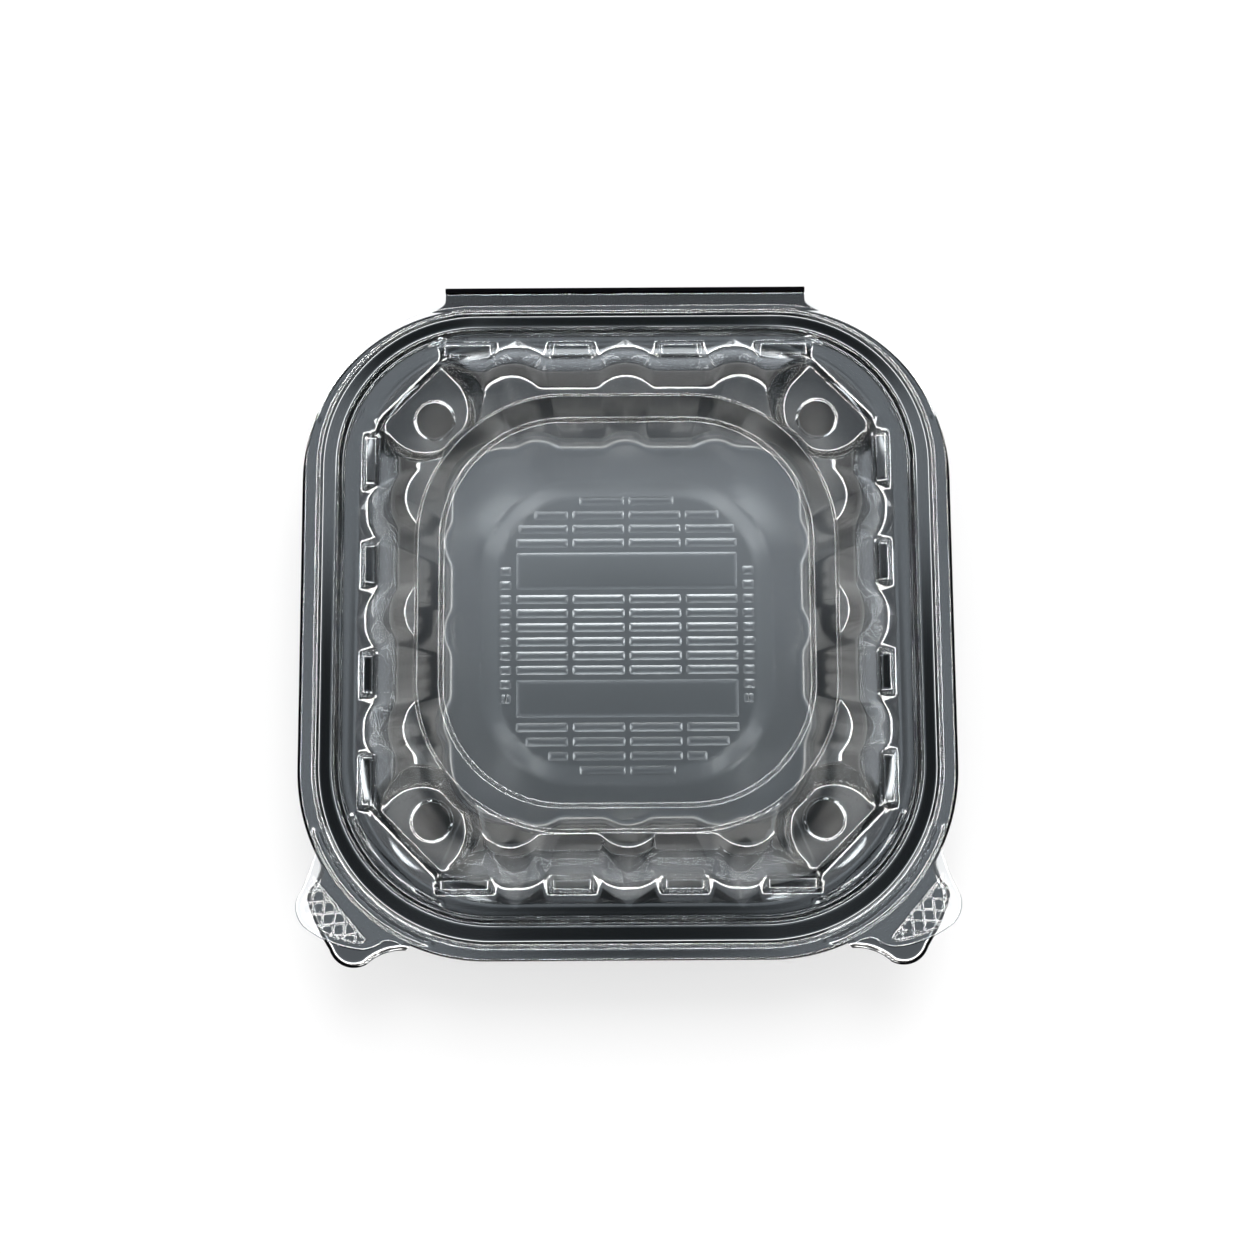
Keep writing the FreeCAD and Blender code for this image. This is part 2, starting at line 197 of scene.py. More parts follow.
# Hinge: a clear strip whose end turns down, and a black strip with a fold at its end. Both are wider
# at their roots
HINGE_LENGTH = 115.0
HINGE_FLARE = 3.4
BLACK_FLARE = HINGE_FLARE * 0.6
FLARE_END = 100.3
FLARE_RUN = 2.6
STRIP_COLUMNS = 61
CLEAR_START = 99.6
CLEAR_END = 104.75
CLEAR_DROP = 0.3
CLEAR_TURN = ((0.12, 0.4), (0.15, 0.6))
BLACK_START = 99.0
FOLD_RADIUS = 0.9

# Rounding: how far apart two heights can be where the fold between them is still rounded. Beside a
# recess this grows outwards, by the second number. Bead tops: the lid's and the tray's
FLUTE_BLEND = 0.5
CREASE_BLEND = 0.6
SIDE_BLEND = 0.3
FACET_BLEND = 0.9
CORNER_BLEND = 1.4
RECESS_BLEND = (0.8, 1.4)
RING_BLEND = 0.6
LEDGE_BLEND = 0.8
PANEL_BLEND = 0.8
PATCH_BLEND = 1.0
SKIRT_BLEND = 3.0
LUG_BLEND = 1.0
LUG_TOP_BLEND = 0.7
LUG_FOOT_BLEND = 0.5
LOCK_BLEND = 0.3
LIP_BLEND = 0.3
LIP_EDGE_BLEND = 0.5
BEAD_BLEND = 0.8
BEAD_TOP_BLEND = (0.5, 0.6)
BEAD_FOOT_BLEND = 0.7
MOUTH_BLEND = 0.3
KNEE_BLEND = 1.2
FLOOR_BLEND = 1.6
CENTRE_BLEND = (0.4, 0.35)
RIM_BLEND = 0.6
RIM_EDGE_BLEND = 0.4
RIB_BLEND = 0.3

# Stations along a quarter of the pack, from the middle of a side. In a corner, shares of the stations
# lie before its bend and up to the bend's end
SIDE_REACH = 44.0
TRAY_REACH = 33.0
SIDE_STATIONS = 72
CORNER_STATIONS = 76
BEND_SHARES = (0.25, 0.75)
MIDDLE_SHARE = 0.85

# Clear sheet. Its haze is a share where it is seen edge on, which fades towards facing. It starts out
# from the dome's foot, ends in the recesses and fades towards a height above the table
CLEAR_TINT = (0.93, 0.945, 0.95, 1)
CLEAR_ROUGHNESS = 0.04
CLEAR_IOR = 1.42
EDGE_TINT = (0.28, 0.31, 0.35, 1)
HAZE_TINT = (0.72, 0.78, 0.84, 1)
HAZE = 0.55
HAZE_POWER = 2.0
HAZE_REACH = 6.0
HAZE_START = 2.0
HAZE_RECESS = 2.0
HAZE_TOP = 59.0
HAZE_FADE = 16.0

# Black sheet: colour and roughness at two heights, in metres, above the bottom of the pack. The paler
# colour low down is painted light: the floor is drawn lighter, as if the lamps above lit it more
BLACK_HEIGHTS = (0.0024, 0.0055)
BLACK_TONES_WITH_PAINTED_LIGHT = ((0.048, 0.052, 0.056, 1), (0.004, 0.005, 0.006, 1))
BLACK_ROUGHNESS = (0.3, 0.12)
BLACK_IOR = 1.55
FOLD_TONE = (0.0025, 0.0025, 0.003, 1)
FOLD_ROUGHNESS = 0.6

# Slow waves of the sheets, in metres across and deep, and how strongly each sheet has them
CLEAR_WAVES = (0.02, 0.004)
BLACK_WAVES = (0.015, 0.02)
WAVE_DEPTH = 0.0006

# Camera, at the photograph's place above the front of the pack
FOCAL_PIXELS = 1401.0
PHOTO_PIXELS = 1254.0
SENSOR = 36.0
CLIP_START = 0.01
TILT = math.radians(6.0)
ROLL = -0.006
CAMERA = (0.0, -48.38, 473.95)

# Table and lamp, in metres and watts. The camera sees the table with a share of its own glow
TABLE_REACH = 3.0
TABLE_TINT = (0.85, 0.85, 0.85, 1)
TABLE_GLOW = 0.5
LAMP_PLACE = (0.1, 0.9, 1.3)
LAMP_AIM = (0, 0, 0.04)
LAMP_SIZE = (0.8, 0.8)
LAMP_POWER = 14

# The tent's light by height above the horizon (sine of its angle), as colours times its level
TENT_LEVEL = 42.0
TENT = ((0.0, (0.014, 0.014, 0.014)), (0.28, (0.021, 0.021, 0.021)), (0.37, (1.0, 0.97, 0.93)),
        (0.58, (0.95, 0.98, 1.0)), (0.73, (0.061, 0.066, 0.071)), (0.982, (0.042, 0.046, 0.050)),
        (0.997, (0.0021, 0.0024, 0.0026)))


def smooth_min(a, b, blend):
    """The lower of two heights, rounded where they come within blend of each other."""
    near = np.clip(blend - np.abs(a - b), 0, None) / blend
    return np.minimum(a, b) - near * near * blend / 4


def smooth_max(a, b, blend):
    """The higher of two heights, rounded where they come within blend of each other."""
    return -smooth_min(-a, -b, blend)


def grow(outline, amount):
    """The outline moved outwards by amount, corner radii too."""
    return tuple(value + amount for value in outline)


def inward(outline, x, y):
    """How far a point lies inside a rectangle with round corners, less than nothing outside it."""
    half, back, front, r_back, r_front = outline
    radius = np.where(y > 0, r_back, r_front)
    dx = np.abs(x) - (half - radius)
    dy = np.abs(y) - (np.where(y > 0, back, front) - radius)
    outside = np.hypot(np.maximum(dx, 0), np.maximum(dy, 0))
    return radius - outside - np.minimum(np.maximum(dx, dy), 0)


def bulge(along, places, width, depth):
    """How far flutes stand out of a wall: round arcs of that width and depth at their places."""
    radius = (width ** 2 / 4 + depth ** 2) / (2 * depth)
    out = np.full_like(along, -1.0)
    for place in places:
        off = np.clip(np.abs(along - place), 0, radius * (1 - TINY))
        out = np.maximum(out, np.sqrt(radius ** 2 - off ** 2) - radius + depth)
    return smooth_max(out, 0, FLUTE_BLEND)


def lid_sides(x, y):
    """For the sides, back and front of the dome: how far inside its foot, and the place along it."""
    return ((DOME_FOOT[0] - np.abs(x), y), (DOME_FOOT[1] - y, x), (DOME_FOOT[2] + y, x))


def facet_inside(x, y):
    """How far a point lies inside the facet across its corner of the dome."""
    return np.where(y > 0, *FACET) - (np.abs(x) + np.abs(y)) / math.sqrt(2)


def petal(x, y):
    """How far a point lies outside the petal of its corner: a half circle open towards the corner."""
    across = (np.abs(x) - VENT[0] - (np.abs(y) - VENT[1])) / math.sqrt(2)
    out = (np.abs(x) - VENT[0] + np.abs(y) - VENT[1]) / math.sqrt(2) - PETAL_SHIFT
    return np.hypot(across, np.minimum(out, 0)) - PETAL_RADIUS


def leaning_top(outline, x, y, height):
    """The top of a band inside an outline, that high at its edge and lower inwards by its lean."""
    half, back, front, r_back, r_front = outline
    beside, behind, before = BAND_LEAN
    radius = np.where(y > 0, r_back, r_front)
    dx = np.maximum(np.abs(x) - half + radius, 0)
    dy = np.maximum(np.abs(y) - np.where(y > 0, back, front) + radius, 0)
    share = dy * dy / np.maximum(dx * dx + dy * dy, TINY)
    lean = beside + (np.where(y > 0, behind, before) - beside) * share
    return height - lean * inward(outline, x, y)


def dome_height(x, y):
    """The fluted dome: walls to the crease, a shoulder, recesses, the ring and its sunk panel."""
    steep = CREASE / CREASE_RUN
    height = RING_BASE
    for (inside, along), run in zip(lid_sides(x, y), SHOULDER_RUN):
        slight = (RING_BASE - CREASE) / run
        out = bulge(along, FLUTES, FLUTE_WIDTH, FLUTE_BULGE)
        wall = (inside + out) * steep
        shoulder = CREASE + (inside + MITRE * out - CREASE_RUN) * slight
        height = smooth_min(height, smooth_min(wall, shoulder, CREASE_BLEND), SIDE_BLEND)
    facet = facet_inside(x, y)
    slight = (RING_BASE - CREASE) / SHOULDER_RUN[0]
    corner = smooth_min(facet * steep, CREASE + (facet - CREASE_RUN) * slight, FACET_BLEND)
    height = smooth_min(height, corner, CORNER_BLEND)
    outside = petal(x, y)
    wall = PLATFORM + (outside - PETAL_FOOT) * PETAL_SLOPE
    wall = smooth_max(wall, PLATFORM, PETAL_SLOPE * PETAL_ROUND)
    blend = RECESS_BLEND[0] + RECESS_BLEND[1] * np.clip(outside + 0.5, 0, 1)
    height = smooth_min(height, wall, blend)
    edge = inward(RING_TOP, x, y)
    top = leaning_top(RING_TOP, x, y, RING_HEIGHT)
    ring = smooth_min(RING_HEIGHT + edge * RING_STEP / RING_RUN, top, RING_BLEND)
    height = smooth_max(height, ring, LEDGE_BLEND)
    pocket = RING_HEIGHT - (edge - RING_WIDTH) * PANEL_DROP / PANEL_RUN
    pocket = smooth_max(pocket, RING_HEIGHT - PANEL_DROP, PANEL_BLEND)
    return smooth_min(height, pocket, PANEL_BLEND)


def lug_height(x, y):
    """The lugs at the foot of the dome: flat blocks with sloping ends and outer faces."""
    slope = LUG_HEIGHT / LUG_RUN
    height = -1.0
    for (inside, along), lean in zip(lid_sides(x, y), BAND_LEAN):
        outer = (inside + LUG_REACH + LUG_RUN) * slope
        faces = smooth_min(outer, (LUG_ROOT - inside) * slope, LUG_BLEND)
        top = LUG_HEIGHT - (inside + LUG_REACH) * lean
        for place, length in LUGS:
            ends = (length / 2 + LUG_RUN - np.abs(along - place)) * slope
            lug = smooth_min(smooth_min(faces, ends, LUG_BLEND), top, LUG_TOP_BLEND)
            height = np.maximum(height, lug)
    return height


def skirt_height(x, y):
    """The skirt: it slopes up to the dome's foot, round the lugs and to a point before each flute."""
    insides, reaches = [], []
    for inside, along in lid_sides(x, y):
        reach = SKIRT
        for place, length in LUGS:
            past = np.abs(along - place) - length / 2 - LUG_RUN
            reach = np.maximum(reach, SKIRT_LUG - np.maximum(past, 0) * SKIRT_LUG_TAPER)
        for place in FLUTES:
            reach = np.maximum(reach, SKIRT_FLUTE - np.abs(along - place) * SKIRT_FLUTE_TAPER)
        insides.append(inside)
        reaches.append(reach)
    insides.append(facet_inside(x, y))
    reaches.append(np.full_like(x, SKIRT_FACET))
    nearest = np.argmin(insides, 0)
    slope = np.where(nearest == len(insides) - 1, SKIRT_FACET_SLOPE, SKIRT_SLOPE)
    return (np.minimum(np.min(insides, 0), SKIRT_END) + np.choose(nearest, reaches)) * slope


def bead_height(x, y, inset, top_blend):
    """A snap bead: a ridge with a leaning top between two outlines, narrower by inset on each side."""
    slope = BEAD_HEIGHT / BEAD_RUN
    outer = (inward(BEAD_OUTER, x, y) - inset + BEAD_RUN) * slope
    inner = (BEAD_RUN - inset - inward(BEAD_INNER, x, y)) * slope
    top = leaning_top(BEAD_OUTER, x, y, BEAD_HEIGHT)
    return smooth_min(smooth_min(outer, inner, BEAD_BLEND), top, top_blend)


def lock_height(x, y):
    """Capsule-shaped ridges that follow an outline's round corners between two angles."""
    height = 0.0
    for outline, side, inset, half_width, rise, first, last in LOCKS:
        radius = outline[4] if side < 0 else outline[3]
        across = np.abs(x) - outline[0] + radius
        down = side * y - (outline[2] if side < 0 else outline[1]) + radius
        angle = np.arctan2(down, across)
        held = np.clip(angle, math.radians(first), math.radians(last))
        run = radius - inset
        off = np.hypot(across - run * np.cos(held), down - run * np.sin(held))
        height = np.maximum(height, rise * np.clip(LOCK_STEEPNESS * (1 - off / half_width), 0, 1))
    return height


def lid_height(x, y):
    """The whole lid above its lip."""
    height = smooth_max(dome_height(x, y), skirt_height(x, y), SKIRT_BLEND)
    height = smooth_max(height, lug_height(x, y), LUG_FOOT_BLEND)
    height = smooth_max(height, 0, LIP_BLEND)
    height = smooth_max(height, bead_height(x, y, 0, BEAD_TOP_BLEND[0]), BEAD_FOOT_BLEND)
    height = smooth_max(height, lock_height(x, y), LOCK_BLEND)
    edge = inward(LID_LIP, x, y) * LIP_EDGE_SLOPE - LIP_EDGE_DROP
    return smooth_min(height, edge, LIP_EDGE_BLEND)


def patch_edge(turn, y_sign):
    """How far the edge of a vent's patch lies from the vent, in a direction turned from the corner's.

    It is the petal's outline moved out past its wall, cut off by a line along the corner's facet.
    """
    radius = PETAL_RADIUS + PATCH_STEP
    wall = radius / np.maximum(np.abs(np.sin(turn)), TINY)
    round_end = PETAL_SHIFT * np.cos(turn) + np.sqrt(radius ** 2 - (PETAL_SHIFT * np.sin(turn)) ** 2)
    edge = np.where(wall * np.cos(turn) > PETAL_SHIFT, wall, round_end)
    gap = (FACET[0] if y_sign > 0 else FACET[1]) - PATCH_LINE - (VENT[0] + VENT[1]) / math.sqrt(2)
    line = gap / np.maximum(np.cos(turn), TINY)
    return smooth_min(edge, line, PATCH_BLEND)


def open_for_patches(x, y):
    """Moves points just inside the vents' patches to their edges, and tells which points are inside."""
    inside = np.zeros(x.shape, bool)
    for y_sign in (-1, 1):
        across, down = np.abs(x) - VENT[0], y_sign * y - VENT[1]
        away = np.hypot(across, down)
        edge = patch_edge(np.arctan2(down, across) - math.pi / 4, y_sign)
        here = away < edge
        share = np.where(here, edge / np.maximum(away, TINY), 1)
        x = np.where(here, np.sign(x) * (VENT[0] + across * share), x)
        y = np.where(here, y_sign * (VENT[1] + down * share), y)
        inside |= here
    return x, y, inside


def round_the_bend(side, straight, radius):
    """How far along an outline the side stations lie: past its straight part they are on the arc."""
    turn = np.arcsin(np.clip((side - straight) / radius, 0, 1))
    return np.where(side <= straight, side, straight + radius * turn)


def quarter(half, reach, radius, facet, side_reach):
    """Points on a quarter outline from the middle of its far side to the middle of its right side.

    The side stations keep their x (or y), and the corner stations share the length between them.
    A corner is an arc, or a straight facet at that distance from the middle.
    """
    from_far = from_right = np.linspace(0, side_reach, SIDE_STATIONS + 1)
    if facet is None:
        x_1, y_1 = half - radius, reach - radius
        bend = radius * math.pi / 2
        from_far = round_the_bend(from_far, x_1, radius)
        from_right = round_the_bend(from_right, y_1, radius)
    else:
        x_1, y_1 = facet * math.sqrt(2) - reach, facet * math.sqrt(2) - half
        bend = math.hypot(half - x_1, reach - y_1)
    last = x_1 + bend + y_1 - from_right[::-1]
    start, end = from_far[-1], last[0]
    early, late = BEND_SHARES
    if facet is None:
        knots = [start, start + (end - start) * early, start + (end - start) * late, end]
    else:
        knots = [start, max(x_1, start), min(x_1 + bend, end), end]
    share = np.linspace(0, 1, CORNER_STATIONS + 1)[1:-1]
    corner = np.interp(share, [0, early, late, 1], knots)
    place = np.concatenate([from_far, corner, last])
    turn = np.clip((place - x_1) / bend, 0, 1)
    if facet is None:
        x = np.where(place < x_1, place, x_1 + radius * np.sin(turn * math.pi / 2))
        y = y_1 + radius * np.cos(turn * math.pi / 2)
    else:
        x = np.where(place < x_1, place, x_1 + (half - x_1) * turn)
        y = reach + (y_1 - reach) * turn
    return x, y - np.maximum(place - x_1 - bend, 0)


def loop(outline, facets=None, side_reach=SIDE_REACH):
    """A closed outline as points, going round from the middle of the back by way of the right side."""
    half, back, front, r_back, r_front = outline
    x_b, y_b = quarter(half, back, r_back, facets and facets[0], side_reach)
    x_f, y_f = quarter(half, front, r_front, facets and facets[1], side_reach)
    x = np.concatenate([x_b[:-1], x_f[:0:-1], -x_f[:-1], -x_b[:0:-1]])
    y = np.concatenate([y_b[:-1], -y_f[:0:-1], -y_f[:-1], y_b[:0:-1]])
    return np.stack([x, y], 1)


def ring_keys(rows, side_reach=SIDE_REACH):
    """Keys for rings from rows of (outline, how far outside it, number of steps to the next)."""
    return [(loop(grow(outline, out), None, side_reach), steps) for outline, out, steps in rows]


def dome_ring(out, share):
    """A ring that far outside the dome's foot, with that share of the flutes' bulge on its sides."""
    half, back, front = (reach + out for reach in DOME_FOOT)
    points = loop((half, back, front, 0, 0), [facet + out for facet in FACET])
    for index, reach in ((0, (half, half)), (1, (back, front))):
        stand = share * bulge(points[:, 1 - index], FLUTES, FLUTE_WIDTH, FLUTE_BULGE)
        place = points[:, index]
        at_side = np.abs(place - np.where(place > 0, *reach) * np.sign(place)) < 10 * TINY
        points[:, index] += np.where(at_side, stand, 0) * np.sign(place)
    return points


def levels(keys):
    """Rings of points from one outline to the next: keys are (points, number of steps to the next)."""
    rings = []
    for (points, steps), (after, _) in zip(keys, keys[1:]):
        for step in range(steps):
            rings.append(points + (after - points) * step / steps)
    rings.append(keys[-1][0])
    return np.array(rings)


def grid_faces(rows, columns, wrap):
    """Four-cornered faces of a grid of points, joined round when wrap is true."""
    number = np.arange(rows * columns).reshape(rows, columns)
    after = np.roll(number, -1, 1)
    if not wrap:
        number, after = number[:, :-1], after[:, :-1]
    return np.stack([number[:-1], number[1:], after[1:], after[:-1]], -1).reshape(-1, 4)


def joined(grids):
    """The points and faces of several grids, given as (x, y, z, faces), as one set."""
    all_points, all_faces = [], []
    count = 0
    for x, y, z, faces in grids:
        all_points.append(np.stack([x, y, z], -1).reshape(-1, 3))
        all_faces.append(faces + count)
        count += x.size
    return np.concatenate(all_points), np.concatenate(all_faces)


def used_only(points, faces):
    """The points that the faces use, and the faces numbered anew."""
    used = np.unique(faces)
    number = np.zeros(len(points), int)
    number[used] = np.arange(len(used))
    return points[used], number[faces]


def haze_at(points):
    """Where the clear sheet is hazy: on the dome from its skirt up, but for its recesses and its top."""
    x, y, z = points.T
    inside = np.min([inside for inside, _ in lid_sides(x, y)] + [facet_inside(x, y)], 0)
    near = np.clip((inside + HAZE_REACH) / HAZE_START, 0, 1)
    low = np.clip((HAZE_TOP - z) / HAZE_FADE, 0, 1)
    return near * low * np.clip(petal(x, y) - PATCH_STEP + HAZE_RECESS, 0, 1)


def sheet_mesh(name, points, faces, material, body, *nodes, middle=0, edge=None):
    """A smooth piece from points in millimetres and faces with four corners, riding on a body.

    The last points, as many as middle says, go round a flat face that closes the piece's middle.
    edge is a second material and, for each face, whether it has it.
    """
    mesh = bpy.data.meshes.new(name)
    place = (points + np.array([0, SHIFT, 0])) * MM
    cap = [list(range(len(points) - middle, len(points)))[::-1]] if middle else []
    mesh.from_pydata(place.tolist(), [], faces.tolist() + cap)
    mesh.polygons.foreach_set("use_smooth", np.ones(len(mesh.polygons), bool))
    mesh.materials.append(material)
    if edge:
        mesh.materials.append(edge[0])
        mesh.polygons.foreach_set("material_index", edge[1].astype(np.int32))
    mesh.update()
    mesh.attributes.new("haze", "FLOAT", "POINT").data.foreach_set("value", haze_at(points))
    piece = bpy.data.objects.new(name, mesh)
    bpy.context.scene.collection.objects.link(piece)
    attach(piece, body)
    if nodes:
        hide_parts(*nodes)
    return piece


def add_node(tree, kind, inputs=None, **settings):
    """A new node with its settings, and a value or another node's output for each named input."""
    node = tree.nodes.new("ShaderNode" + kind)
    for key, value in settings.items():
        setattr(node, key, value)
    for key, value in (inputs or {}).items():
        if isinstance(value, bpy.types.NodeSocket):
            tree.links.new(value, node.inputs[key])
        else:
            node.inputs[key].default_value = value
    return node


def new_material(name):
    """A material with its empty node tree."""
    material = bpy.data.materials.new(name)
    material.use_nodes = True
    material.node_tree.nodes.clear()
    return material, material.node_tree


def unevenness(tree, size, strength):
    """A bump of slow waves, as formed sheet has."""
    coordinates = add_node(tree, "TexCoord")
    noise = add_node(tree, "TexNoise", {"Vector": coordinates.outputs["Object"], "Scale": 1 / size,
                                        "Detail": 1.0})
    bump = add_node(tree, "Bump", {"Height": noise.outputs["Fac"], "Strength": strength,
                                   "Distance": WAVE_DEPTH})
    return bump.outputs["Normal"]


def clear_sheet():
    """Clear sheet seen through, with a mirror's share by its angle and more haze where it is steep."""
    material, tree = new_material("clear_sheet")
    facing = add_node(tree, "LayerWeight", {"Blend": 0.5})
    steep = add_node(tree, "Math", {0: facing.outputs["Facing"], 1: HAZE_POWER}, operation="POWER")
    amount = add_node(tree, "Math", {0: steep.outputs[0], 1: HAZE}, operation="MULTIPLY")
    place = add_node(tree, "Attribute", attribute_name="haze")
    hazy = add_node(tree, "Math", {0: amount.outputs[0], 1: place.outputs["Fac"]}, operation="MULTIPLY")
    through = add_node(tree, "BsdfTransparent", {"Color": CLEAR_TINT})
    haze = add_node(tree, "BsdfDiffuse", {"Color": HAZE_TINT})
    body = add_node(tree, "MixShader", {"Fac": hazy.outputs[0], 1: through.outputs[0], 2: haze.outputs[0]})
    gloss = add_node(tree, "BsdfGlossy", {"Color": (1, 1, 1, 1), "Roughness": CLEAR_ROUGHNESS,
                                          "Normal": unevenness(tree, *CLEAR_WAVES)})
    share = add_node(tree, "Fresnel", {"IOR": CLEAR_IOR})
    mix = add_node(tree, "MixShader", {"Fac": share.outputs[0], 1: body.outputs[0], 2: gloss.outputs[0]})
    add_node(tree, "OutputMaterial", {"Surface": mix.outputs[0]})
    return material


def clear_edge():
    """The cut edge of the clear sheet, which lets little light through."""
    material, tree = new_material("clear_edge")
    through = add_node(tree, "BsdfTransparent", {"Color": EDGE_TINT})
    add_node(tree, "OutputMaterial", {"Surface": through.outputs[0]})
    return material


def black_sheet():
    """Black sheet: satin on the floor, with painted light there as a paler colour, and glossier towards
    the rim.
    """
    material, tree = new_material("black_sheet")
    coordinates = add_node(tree, "TexCoord")
    split = add_node(tree, "SeparateXYZ", {0: coordinates.outputs["Object"]})
    height = {"Value": split.outputs["Z"], "From Min": BLACK_HEIGHTS[0], "From Max": BLACK_HEIGHTS[1]}
    share = add_node(tree, "MapRange", height)
    finish = add_node(tree, "MapRange",
                      {**height, "To Min": BLACK_ROUGHNESS[0], "To Max": BLACK_ROUGHNESS[1]})
    # The paler colour at the floor is painted light, standing in for the lamps above lighting the floor
    # more than the walls
    tone_with_painted_light = add_node(tree, "ValToRGB", {"Fac": share.outputs["Result"]})
    for stop, colour in zip(tone_with_painted_light.color_ramp.elements, BLACK_TONES_WITH_PAINTED_LIGHT):
        stop.color = colour
    plastic = add_node(tree, "BsdfPrincipled", {
        "Base Color": tone_with_painted_light.outputs["Color"], "Roughness": finish.outputs["Result"], "IOR": BLACK_IOR,
        "Normal": unevenness(tree, *BLACK_WAVES)})
    add_node(tree, "OutputMaterial", {"Surface": plastic.outputs["BSDF"]})
    return material


def black_fold():
    """The folded black sheet, dull from being bent."""
    material, tree = new_material("black_fold")
    plastic = add_node(tree, "BsdfPrincipled", {"Base Color": FOLD_TONE, "Roughness": FOLD_ROUGHNESS,
                                                "Specular IOR Level": 0.0})
    add_node(tree, "OutputMaterial", {"Surface": plastic.outputs["BSDF"]})
    return material


def lid_rings():
    """The lid's rings of points, close together where its section bends."""
    panel = grow(RING_TOP, -RING_WIDTH)
    keys = ring_keys([
        (LID_LIP, 0, 6), (LID_LIP, -1.6, 2),
        (BEAD_OUTER, 2.3, 4), (BEAD_OUTER, 1.0, 2), (BEAD_OUTER, 0.6, 4), (BEAD_OUTER, -0.8, 2),
        (BEAD_INNER, 0.8, 4), (BEAD_INNER, -0.6, 2), (BEAD_INNER, -1.0, 4), (BEAD_INNER, -2.3, 3)])
    dome = [(6.6, 0, 15), (0.4, 1, 6), (-1.3, 1, 4), (-CREASE_RUN + 0.8, 1, 4), (-CREASE_RUN - 0.8, 1, 3),
            (-12.3, 1, 4), (-13.0, 0.25, 5)]
    keys += [(dome_ring(out, share), steps) for out, share, steps in dome]
    keys += ring_keys([
        (RING_TOP, 2.0, 4), (RING_TOP, 0.9, 2), (RING_TOP, 0.5, 5), (RING_TOP, -0.8, 2),
        (panel, 0.8, 5), (panel, -0.3, 2), (panel, -0.8, 5), (panel, -2.0, 3)])
    return levels(keys + [(loop(panel) * MIDDLE_SHARE, 0)])


def lid_sheet(material):
    """The lid's sheet: its height over the rings of points, open where the vents' patches lie."""
    rings = lid_rings()
    rows, columns = rings.shape[:2]
    x, y, inside = open_for_patches(rings[..., 0].ravel(), rings[..., 1].ravel())
    points = np.stack([x, y, lid_height(x, y) + LID_Z], 1)
    faces = grid_faces(rows, columns, True)
    faces = faces[~inside[faces].all(1)]
    sheet_mesh("lid_sheet", *used_only(points, faces), material, "lid", "lid", middle=columns)


def vent_patches(material):
    """Round each vent, rays from its edge to the patch's edge: floor, raised edge and recess wall."""
    rows, columns = VENT_GRID
    turn = np.linspace(-math.pi, math.pi, columns + 1)[None, :-1]
    share = np.linspace(0, 1, rows)[:, None]
    faces = grid_faces(rows, columns, True)
    patches = []
    for x_sign, y_sign in ((1, 1), (-1, 1), (-1, -1), (1, -1)):
        away = VENT_RADIUS + (patch_edge(turn, y_sign) - VENT_RADIUS) * share
        x = x_sign * (VENT[0] + away * np.cos(turn + math.pi / 4))
        y = y_sign * (VENT[1] + away * np.sin(turn + math.pi / 4))
        near = np.clip((VENT_RADIUS + VENT_EDGE - away) / VENT_EDGE, 0, 1)
        z = LID_Z + lid_height(x, y) + VENT_RISE * near * near * (3 - 2 * near)
        patches.append((x, y, z, faces if x_sign * y_sign > 0 else faces[:, ::-1]))
    sheet_mesh("vents", *joined(patches), material, "lid")


def tray_height(x, y):
    """The tray's upper face: rim, bead, mouth, fluted wall, knee, floor and its raised centre."""
    inside = inward(MOUTH, x, y)
    lean = (-FLOOR - FLOOR_ROUND - MOUTH_DROP) / WALL_RUN
    down = np.clip((inside - MOUTH_RUN) / WALL_RUN, 0, 1)
    flutes = [top + (low - top) * down for low, top in TRAY_FLUTES]
    out = np.zeros_like(x)
    for along, across in ((x, y), (y, x)):
        stand = bulge(along, flutes, TRAY_FLUTE_WIDTH, TRAY_FLUTE_BULGE)
        out = np.where(np.abs(across) > np.abs(along), stand, out)
    mouth = -inside * MOUTH_DROP / MOUTH_RUN
    down_wall = inside + out - MOUTH_RUN
    wall = -MOUTH_DROP - down_wall * lean
    knee = FLOOR + FLOOR_ROUND - (down_wall - WALL_RUN) * FLOOR_ROUND / FLOOR_ROUND_RUN
    wall = smooth_max(wall, knee, KNEE_BLEND)
    border = smooth_max(inward(CENTRE_EDGE, x, y) * CENTRE_RISE / BORDER_WIDTH, 0, CENTRE_BLEND[0])
    floor = FLOOR + smooth_min(border, CENTRE_RISE, CENTRE_BLEND[1])
    height = smooth_max(smooth_min(mouth, wall, MOUTH_BLEND), floor, FLOOR_BLEND)
    height = smooth_min(height, 0, RIM_BLEND)
    height = smooth_max(height, bead_height(x, y, BEAD_INSET, BEAD_TOP_BLEND[1]), BEAD_FOOT_BLEND)
    edge = (inward(TRAY_LIP, x, y) - LIP_TURN) * LIP_DROP / LIP_TURN
    return smooth_min(height, edge, RIM_EDGE_BLEND)


def tray_rings():
    """The tray's rings of points, close together where its section bends."""
    foot = -MOUTH_RUN - WALL_RUN
    keys = ring_keys([
        (TRAY_LIP, 0, 5), (TRAY_LIP, -2.0, 2),
        (BEAD_OUTER, 1.2, 3), (BEAD_OUTER, -0.2, 3), (BEAD_OUTER, -1.6, 2),
        (BEAD_INNER, 1.6, 3), (BEAD_INNER, 0.2, 3), (BEAD_INNER, -1.2, 2),
        (MOUTH, 0.6, 4), (MOUTH, -0.6, 5), (MOUTH, -MOUTH_RUN - 1, 14),
        (MOUTH, foot + 1.4, 6), (MOUTH, foot - 3, 4),
        (CENTRE_EDGE, 1.2, 6), (CENTRE_EDGE, -1.2, 4),
        (CENTRE_EDGE, 1.2 - BORDER_WIDTH, 6), (CENTRE_EDGE, -1.2 - BORDER_WIDTH, 2)], TRAY_REACH)
    centre = loop(grow(CENTRE_EDGE, -BORDER_WIDTH), None, TRAY_REACH)
    return levels(keys + [(centre * MIDDLE_SHARE, 0)])[:, ::2]


